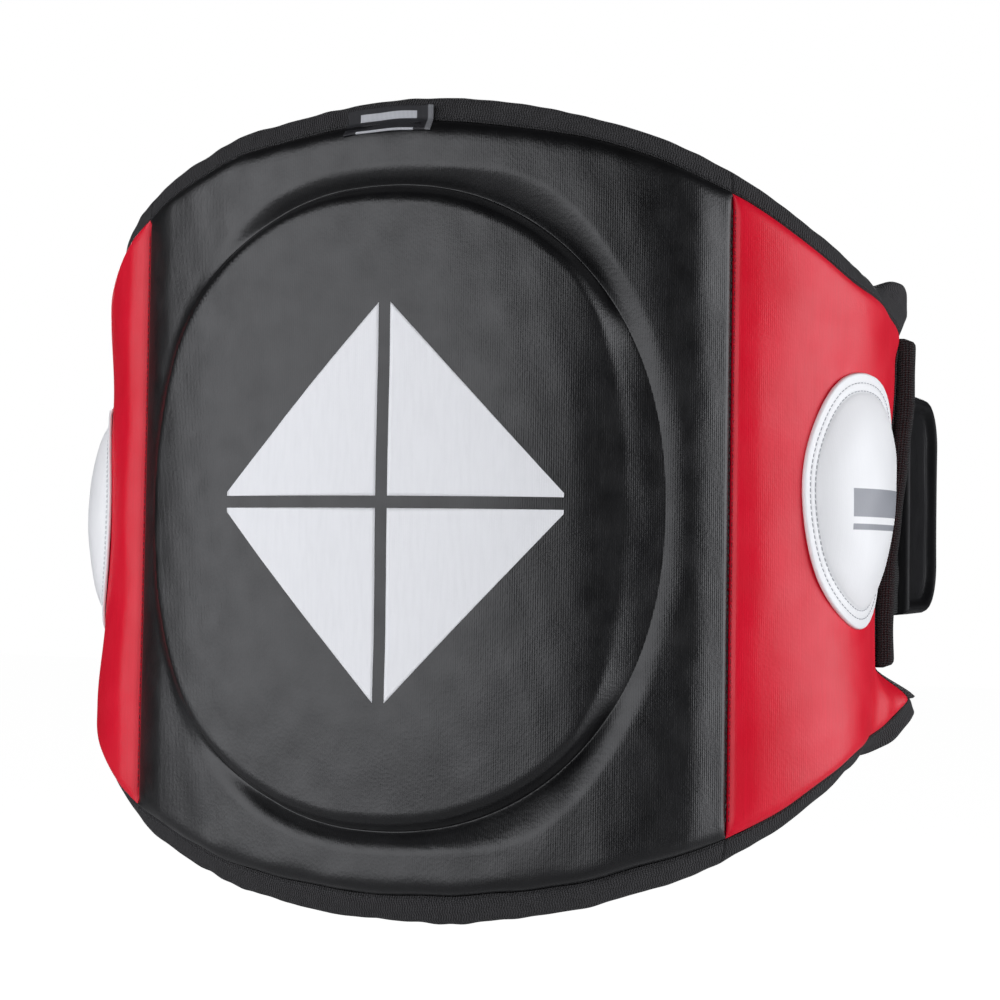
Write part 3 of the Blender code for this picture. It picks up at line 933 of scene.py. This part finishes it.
def fold_section(half):
    """Points round a folded tape, front leg first, as shares of its reach and of its half width.

    half is the half width as a share of the reach, which makes the fold round.
    """
    leg = np.linspace(0, 1 - half, 8)
    arc = np.linspace(-math.pi / 2, math.pi / 2, 9)[1:-1]
    up = np.concatenate([leg, 1 - half + half * np.cos(arc), leg[::-1]])
    across = np.concatenate([0 * leg - 1, np.sin(arc), 0 * leg + 1])
    return up, across


def folded(name, middle, core, along):
    """Tape whose cloth runs through a grid of points, folded round the core; gives back its normals too."""
    n = turned(normals(middle), middle - core)
    flat = np.cumsum(np.linalg.norm(np.diff(middle, axis=1, prepend=middle[:, :1]), axis=-1), axis=1)
    uv = cloth(along, flat)
    return slab(name, middle + n * TAPE / 2, middle - n * TAPE / 2, uv, looks["binding_tape"]), n


def edge_tape(name, s, edge, up, seed, body, nodes):
    """Tape folded over the top or bottom edge; up is 1 on the top edge, -1 below."""
    high, across = fold_section(TAPE_HALF / TAPE_REACH)
    corner = step(np.abs(s), *CORNER_S)
    reach = TAPE_REACH - TAPE / 2 + kinks(s, seed, 1.2 * MM) + 0.25 * MM * ripple(s, 0, 14 * MM, seed + 1)
    rounded = corner * (1 - 0.4 * step(np.abs(s), 320 * MM, WING_END))
    reach += CORNER_REACH[up] * rounded * (1 + 0.12 * ripple(s, 0, 14 * MM, seed + 4))
    reach += LOW_REACH * (up < 0) * (1 - step(np.abs(s), 120 * MM, 220 * MM))
    lean = TAPE_LEAN[up] + kinks(s, seed + 2, 1.3 * MM) + REAR_LEAN[up] * step(np.abs(s), *REAR_LEAN_S)
    lean += CORNER_LEAN[up] * corner
    width = TAPE_HALF + 0.35 * MM * ripple(s, 0, 17 * MM, seed + 3)
    z = edge(s)[:, None] + up * (GAP + reach[:, None] * high)
    depth = seam(s)[:, None] + across * width[:, None] + lean[:, None] * high**2
    s = s[:, None] + 0 * z
    middle = place(s, z, depth)
    core = place(s, edge(s) + up * 0.4 * TAPE_REACH, seam(s))
    piece, n = folded(name, middle, core, s)
    finish_piece(piece, body, nodes)
    black = looks["black_thread"]
    for word, column in (("front", 1), ("back", -2)):
        path = middle[:, column] + n[:, column] * TAPE * 0.55
        stitches = sew(f"{name}_{word}_stitches", path, n[:, column], black, 3.4 * MM, 0.3 * MM)
        finish_piece(stitches, body)


def tapes():
    """Tape along the top and the bottom edge of the front and of both wings."""
    for level, edge, up, seed in (("top", top, 1, 51), ("bottom", bottom, -1, 61)):
        s = across_front(2 * MM)
        edge_tape(f"front_{level}_tape", s, edge, up, seed, "front", (f"front_{level}_binding",))
        for side, word in WORDS:
            s = across_wing(side, 2 * MM)
            nodes = (f"{word}_wing_{level}_binding",)
            edge_tape(f"{word}_wing_{level}_tape", s, edge, up, seed, side, nodes)


def end_tape(side, word):
    """Tape folded over a wing's free end; its upper end narrows to go inside the top tape."""
    half = back(WING_END) / 2 + GAP + TAPE / 2
    lap = 9 * MM
    hidden = 13 * MM
    high, across = fold_section(half / (lap + half))
    z = np.linspace(bottom(WING_END) - 1.5 * MM, top(WING_END) + hidden, 90)[:, None] + 0 * high
    pinch = step(z, top(WING_END) - 7 * MM, top(WING_END) + 2 * MM)
    reach = lap + half * (1 - 0.5 * pinch) + 0.8 * MM * ripple(z, 0, 40 * MM, 71)
    s = side * (WING_END - lap + GAP + reach * high)
    width = half * (1 - 0.6 * pinch) * (1 + 0.06 * ripple(z, 0, 25 * MM, 72))
    depth = back(WING_END) / 2 * (1 - pinch) + seam(WING_END) * pinch + across * width
    core = place(side * (WING_END - lap / 2), z, back(WING_END) / 2)
    piece, _ = folded(f"{word}_end_tape", place(s, z, depth), core, z)
    finish_piece(piece, f"{word}_wing", (f"{word}_end_binding",))


def anchor(side, word):
    """Folded webbing that stands out from the wing's end, with a rounded, uneven outer fold."""
    share = np.linspace(0, 1, 110)
    z = ANCHOR_LOW + (ANCHOR_HIGH - ANCHOR_LOW) * share
    near = -(2 * GAP + TAPE)
    far = near - 10.5 * MM + 0.8 * MM * ripple(z, 0, 40 * MM, 81)
    half = 2.4 * MM + 0.45 * MM * ripple(z, 0, 15 * MM, 82)
    end = np.clip(np.minimum(share, 1 - share) / 0.025, 0, 1)
    round_end = np.sqrt(1 - (1 - end) ** 2) * 0.55 + 0.45
    far = near + (far - near) * round_end
    around = 28
    rings = []
    uvs = []
    for i in range(around):
        a = TAU * i / around
        c, n = math.cos(a), math.sin(a)
        wide = math.copysign(abs(c) ** 0.75, c)
        tall = math.copysign(abs(n) ** 0.6, n)
        s = ANCHOR_S + 1.75 * MM + half * wide + 0.6 * MM * ripple(z, 0, 60 * MM, 83)
        depth = (near + far) / 2 + (near - far) / 2 * tall
        rings.append(place(side * s, z, depth, flared=0.0))
        uvs.append(cloth(z, i * 1.1 * MM))
    piece = tube(f"{word}_anchor_webbing", np.stack(rings, 1), np.stack(uvs, 1), looks["webbing"])
    finish_piece(piece, f"{word}_wing", (f"{word}_anchor_strip",))


# ---- side targets, emblem and label


def target(side, word):
    """Oval target: a hem with two rows of stitches round a white dome; only the left one is printed."""
    around = 120
    angle = np.linspace(0, TAU, around, endpoint=False)
    edge = 1 + 0.008 * np.sin(3 * angle + 1) + 0.006 * np.sin(7 * angle)
    hem = 8.5 * MM
    stretches = (np.linspace(0, 2, 5), np.linspace(2, 14, 25)[1:], np.linspace(14, 54, 24)[1:])
    inward = np.concatenate(stretches) * MM
    mean = 55 * MM
    plain = 0.0 if side > 0 else 1.0

    def rise(e):
        """Height of the leather this far in from the edge."""
        lip = 1.7 * MM * np.sqrt(np.clip(1 - (1 - np.clip(e / (1.2 * MM), 0, 1)) ** 2, 0, 1))
        q = np.clip((e - hem) / (mean - hem), 0, 1)
        dome = 10.5 * MM * (1 - (1 - q) ** 2.2) ** 0.75
        pressed = 0.3 * MM * (bell(e - 4.5 * MM, 0.7 * MM) + bell(e - 8 * MM, 0.7 * MM))
        return lip + dome - pressed

    def ring(e, lift):
        """Points round the target this far in from its edge, and their cloth coordinates."""
        share = (1 - e / mean) * edge
        s = TARGET_S + share * TARGET_HALF_WIDTH * np.cos(angle)
        z = TARGET_Z[side] + share * TARGET_HALF_HEIGHT * np.sin(angle)
        uneven = 0.35 * MM * ripple(s, z, 30 * MM, 91) * step(e, hem, 2 * hem)
        points = place(side * s, z, -(GAP + lift + uneven))
        return points, cloth(s - TARGET_S + plain, z - TARGET_Z[side])

    def body(name, rings, look, node, fill):
        points, uv = (np.stack(part) for part in zip(*rings))
        piece = tube(f"{word}_target_{name}", points, uv, looks[look])
        finish_piece(piece, f"{word}_wing", (f"{word}_target_{node}",))

    outer = [ring(e, rise(e) + 0.2 * MM) for e in inward]
    inner = [ring(e + (1.2 * MM if e == 0 else 0), max(0.0, rise(e) - SKIN)) for e in inward]
    body("leather", inner[::-1] + outer, "white_pu", "cover", 0.85)

    base = [ring(hem + 2 * MM, 0.1 * MM)]
    dome = [ring(e, max(0.2 * MM, rise(e) - SKIN - 0.5 * MM)) for e in inward if e > hem + 2 * MM]
    body("core", base + dome, "soft_foam", "foam", 0.9)

    for number, e in ((1, 4.5 * MM), (2, 8 * MM)):
        path, _ = ring(e, rise(e) + 0.25 * MM)
        higher, _ = ring(e, rise(e) + 1.25 * MM)
        closed = np.concatenate([path, path[:1]])
        out = np.concatenate([higher - path, (higher - path)[:1]])
        white = looks["white_thread"]
        row = sew(f"{word}_target_stitches_{number}", closed, out, white, 2.9 * MM, 0.28 * MM)
        finish_piece(row, f"{word}_wing")


def emblem():
    """Four quarters of a diamond printed on the front, with a slit between them."""
    for side, word in WORDS:
        for level, up in (("upper", 1), ("lower", -1)):
            share = np.linspace(0, 1, 46)[:, None]
            climb = np.linspace(0, 1, 46)[None, :]
            s = side * (EMBLEM_SLIT + (EMBLEM_HALF_WIDTH - EMBLEM_SLIT) * share) + 0 * climb
            reach = 2 * MM + (EMBLEM_HALF_HEIGHT - EMBLEM_SLIT) * (1 - share)
            z = up * (EMBLEM_SLIT + reach * climb)
            under = -relief(s, z)
            outer, inner = place(s, z, under - 0.25 * MM), place(s, z, under - 0.05 * MM)
            uv = cloth(s, z)
            piece = slab(f"print_{level}_{word}", outer, inner, uv, looks["white_print"])
            finish_piece(piece, "front", (f"emblem_{level}_{word}",))


def edge_label():
    """Folded woven label sewn over the top tape, its lower end lying on the leather."""
    s = np.linspace(LABEL_LEFT, LABEL_RIGHT, 40)[:, None]
    v = np.linspace(0, LABEL_TALL, 16)[None, :]
    z = top(s) - 5.5 * MM + v + 0.3 * MM * ripple(s, v, 20 * MM, 95)
    lie = seam(s) - TAPE_HALF - TAPE / 2 - 1.4 * MM
    roll = step(z, top(s) + 2 * MM, top(s) - 7 * MM)
    curl = 1.6 * MM * step(s, LABEL_RIGHT - 7 * MM, LABEL_RIGHT) * (0.4 + 0.6 * v / LABEL_TALL)
    depth = lie - 6.5 * MM * roll - curl
    uv = cloth(s, v)
    piece = panel("woven_label", s + 0 * v, z, depth, 0.8 * MM, looks["label_weave"], uv)
    finish_piece(piece, "front", ("edge_label",))


def side_seams():
    """Thread marks in the side seams, one row on the black side and one on the red side."""
    for side, word in WORDS:
        z = np.linspace(top(FRONT_HALF) - 8 * MM, bottom(FRONT_HALF) + 8 * MM, 200)
        away = 0.9 * MM
        for name, s, look, body in (
            (f"{word}_seam_stitches_front", side * (FRONT_HALF - away), "black_thread", "front"),
            (f"{word}_seam_stitches_wing", side * (FRONT_HALF + away), "red_thread", side),
        ):
            depth = seam_dip(s) - 0.1 * MM
            path = place(s, z, depth)
            out = place(s, z, depth - MM) - path
            finish_piece(sew(name, path, out, looks[look], 3.3 * MM, 0.3 * MM), body)


# ---- straps


class Strap:
    """Line that a strap follows in plan from its hinge: straight on, or along an arc that turns inward."""

    def __init__(self, side, heading, radius):
        self.side = side
        self.origin = place(WING_END + GAP + TAPE, 0.0, -ELASTIC_THICK)
        self.heading = heading
        self.radius = radius

    def at(self, along, z, out):
        """Points this far along the strap, z above its middle and out from its line."""
        along, z, out = np.broadcast_arrays(along, z, out)
        if self.radius:
            a = self.heading + along / self.radius
            x = self.radius * (np.sin(a) - math.sin(self.heading))
            y = self.radius * (math.cos(self.heading) - np.cos(a))
        else:
            a = self.heading + 0 * along
            x = along * np.cos(a)
            y = along * np.sin(a)
        x = x + self.origin[0] + out * np.sin(a)
        y = y + self.origin[1] - out * np.cos(a)
        return np.stack([self.side * x, y, STRAP_Z + z], axis=-1)

    def flat(self, along):
        """Point this far from the hinge, straight on along the heading."""
        x = self.origin[0] + along * math.cos(self.heading)
        return Vector((self.side * x, self.origin[1] + along * math.sin(self.heading), 0))


def flap_grid(length, margin, pitch):
    """Grid over a flap's outline, in by margin: along, z and the distance in from the edge."""
    tall = FLAP_HALF_HEIGHT - margin
    radius = FLAP_CORNER - margin
    far = length - FLAP_CORNER
    straight = np.linspace(margin, far, int((far - margin) / pitch))
    turn = np.linspace(0, math.pi / 2, int(radius * 1.6 / pitch))[1:]
    along = np.concatenate([straight, far + radius * np.sin(turn)])
    high = np.concatenate([0 * straight + tall, tall - radius + radius * np.cos(turn)])
    climb = np.linspace(-1, 1, int(2 * tall / pitch))
    z = high[:, None] * climb
    along = along[:, None] + 0 * z
    corner_x = np.maximum(along - far, 0)
    corner_z = np.maximum(np.abs(z) - (tall - radius), 0)
    rounded = radius - np.hypot(corner_x, corner_z)
    plain = np.minimum(far + radius - along, tall - np.abs(z))
    inward = np.where((corner_x > 0) & (corner_z > 0), rounded, plain)
    return along, z, np.maximum(np.minimum(inward, along - margin), 0)


def waist(along, z, length):
    """Slight waist in a flap's free end."""
    return along - 2.2 * MM * (along / length) ** 3 * np.cos(z / FLAP_HALF_HEIGHT * math.pi / 2) ** 2


def flap(word, strap, length, pitch, seed):
    """Padded glossy flap with a rolled rim and a seam inside it, a back cover and a fastener patch."""
    full = FLAP_THICK / 2
    inner = -full
    start = ELASTIC_LENGTH
    along, z, e = flap_grid(length, 0.0, pitch)
    rim = np.clip(e / FLAP_RIM, 0, 1)
    swell = (1 - (1 - rim) ** 2.3) ** (1 / 2.3)
    sunk = FLAP_SUNK * step(e, 0.9 * FLAP_RIM, 1.9 * FLAP_RIM)
    rise = (inner + 2 * MM) + (full - inner - 2 * MM) * swell - sunk
    rise += 0.7 * MM * bell(e - 2.05 * FLAP_RIM, 0.7 * MM)
    rise += 0.45 * MM * ripple(along, z, 45 * MM, seed) * step(e, 2 * MM, 12 * MM)
    shape = waist(along, z, length)
    outer = strap.at(start + shape, z, rise)
    under = strap.at(start + shape, z, inner + FLAP_SKIN + GAP + 0 * rise)
    uv = cloth(along, z)
    cover = slab(f"{word}_padded_leather", outer, under, uv, looks["gloss_pu"])
    finish_piece(cover, word, (f"{word}_cover", f"{word}_foam"))

    along, z, e = flap_grid(length, 0.4 * MM, 3 * MM)
    shape = waist(along, z, length)
    outer = strap.at(start + shape, z, inner + FLAP_SKIN + 0 * z)
    under = strap.at(start + shape, z, inner + 0.8 * MM * (1 - step(e, 0, 3 * MM)))
    uv = cloth(along, z)
    sheet = slab(f"{word}_back_cloth", outer, under, uv, looks["lining"])
    finish_piece(sheet, word, (f"{word}_back",))

    along, z, e = flap_grid(length, 17 * MM, 1.5 * MM)
    outer = strap.at(start + along, z, inner - GAP + 0 * z)
    under = strap.at(start + along, z, inner - GAP - 1.5 * MM * (0.5 + 0.5 * step(e, 0, 2 * MM)))
    uv = cloth(along, z)
    slot = "fastener_hook" if word == "tab" else "fastener_loop"
    patch = slab(f"{word}_fastener", outer, under, uv, looks[slot])
    finish_piece(patch, word, (f"{word}_patch",))


def elastic(word, strap):
    """Ribbed elastic from under the wing's end tape to the flap's root."""
    along = np.linspace(-2 * MM, ELASTIC_LENGTH + 3 * MM, 24)[:, None]
    climb = np.linspace(-1, 1, 90)[None, :]
    share = np.clip(along / ELASTIC_LENGTH, 0, 1)
    tall = ELASTIC_HALF_HEIGHT + (FLAP_HALF_HEIGHT - 2 * MM - ELASTIC_HALF_HEIGHT) * share
    z = tall * climb
    wavy = 0.4 * MM * ripple(along, z, 18 * MM, 97)
    half = ELASTIC_THICK / 2
    lean = twist(WING_END, STRAP_Z + z) * (1 - share)
    outer = strap.at(along, z, half + wavy - lean)
    inner = strap.at(along, z, wavy - half - lean)
    uv = cloth(z, along)
    piece = slab(f"{word}_elastic_web", outer, inner, uv, looks["webbing"])
    strap.flat(0)
    strap.flat(ELASTIC_BEND)
    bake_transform(piece)
    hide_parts(f"{word}_elastic")


# ---- stage, light and camera


def stage():
    """Large pale floor, well below the pad, which hangs at waist height as it is worn."""
    level = cad_box[0].z - FLOOR_DROP
    data = bpy.data.meshes.new("floor")
    corners = [(FLOOR_HALF * x, FLOOR_HALF * y, level) for x, y in ((-1, -1), (1, -1), (1, 1), (-1, 1))]
    data.from_pydata(corners, [], [(0, 1, 2, 3)])
    look = Look("pale_floor", (0.35, 0.35, 0.35), 0.9, Emission_Color=(1, 1, 1, 1))
    seen = look.node("ShaderNodeLightPath").outputs["Is Camera Ray"]
    look.link(look.times(seen, 0.98), "Emission Strength")
    data.materials.append(look.material)
    add("floor", data)


def world():
    """Dim studio all round, a shade darker at the horizon, which the camera itself sees as white."""
    made = bpy.data.worlds.new("studio")
    bpy.context.scene.world = made
    made.use_nodes = True
    tree = made.node_tree
    direction = node(tree, "ShaderNodeTexCoord").outputs["Generated"]
    height = node(tree, "ShaderNodeSeparateXYZ", {0: direction}).outputs["Z"]
    share = node(tree, "ShaderNodeMapRange", {"Value": height, "From Min": -1}).outputs[0]
    ramp = node(tree, "ShaderNodeValToRGB", {0: share})
    for element in ramp.color_ramp.elements:
        element.color = (0.03, 0.03, 0.03, 1)
    for position in (0.46, 0.60):
        ramp.color_ramp.elements.new(position).color = (0.025, 0.025, 0.025, 1)
    seen = node(tree, "ShaderNodeLightPath").outputs["Is Camera Ray"]
    inputs = {0: seen, 6: ramp.outputs[0], 7: (1, 1, 1, 1)}
    white = node(tree, "ShaderNodeMix", inputs, data_type="RGBA")
    tree.links.new(white.outputs[2], tree.nodes["Background"].inputs["Color"])
    tree.nodes["Background"].inputs["Strength"].default_value = 1.0


def softbox(name, position, width, height, power):
    """Soft rectangular light that aims at the middle of the pad."""
    data = bpy.data.lights.new(name, "AREA")
    data.shape = "RECTANGLE"
    data.size = width
    data.size_y = height
    data.energy = power
    data.color = (0.95, 0.96, 1.0)
    light = add(name, data)
    light.location = position
    light.rotation_euler = (-Vector(position)).to_track_quat("-Z", "Y").to_euler()


def camera():
    data = bpy.data.cameras.new("camera")
    data.lens = LENS
    data.sensor_width = 36
    data.clip_start = 0.05
    level = math.cos(CAMERA_TILT)
    ahead = (-math.sin(CAMERA_TURN) * level, math.cos(CAMERA_TURN) * level, math.sin(CAMERA_TILT))
    forward = Vector(ahead)
    right = Vector((math.cos(CAMERA_TURN), math.sin(CAMERA_TURN), 0))
    up = right.cross(forward)
    c, n = math.cos(CAMERA_ROLL), math.sin(CAMERA_ROLL)
    right, up = right * c + up * n, up * c - right * n
    basis = Matrix((right, up, -forward)).transposed().to_4x4()
    basis.translation = Vector(CAMERA_AT)
    made = add("camera", data)
    made.matrix_world = basis
    bpy.context.scene.camera = made


def build():
    """Every visible piece of the pad."""
    front_skin()
    lining("front_mesh_lining", across_front(4 * MM), "front", ("front_lining",))
    for side, word in WORDS:
        wing_skin(side, word)
        lining(f"{word}_wing_mesh_lining", across_wing(side, 4 * MM), side, (f"{word}_wing_lining",))
        end_tape(side, word)
        anchor(side, word)
        target(side, word)
    foams()
    tapes()
    emblem()
    edge_label()
    side_seams()
    tab = Strap(1, math.pi / 2 - TAB_OUTWARD - TAB_SPREAD, None)
    belt = Strap(-1, float(plan(np.array(WING_END))[2]), BELT_RADIUS)
    for word, strap, length, pitch, wing, seed in (
        ("tab", tab, TAB_LENGTH, 1.2 * MM, "left_wing", 98),
        ("belt", belt, BELT_LENGTH, 1.8 * MM, "right_wing", 99),
    ):
        elastic(word, strap)
        flap(word, strap, length, pitch, seed)


build()
stage()
world()
for light in LIGHTS:
    softbox(*light)
camera()
bpy.context.scene.view_settings.view_transform = "Standard"
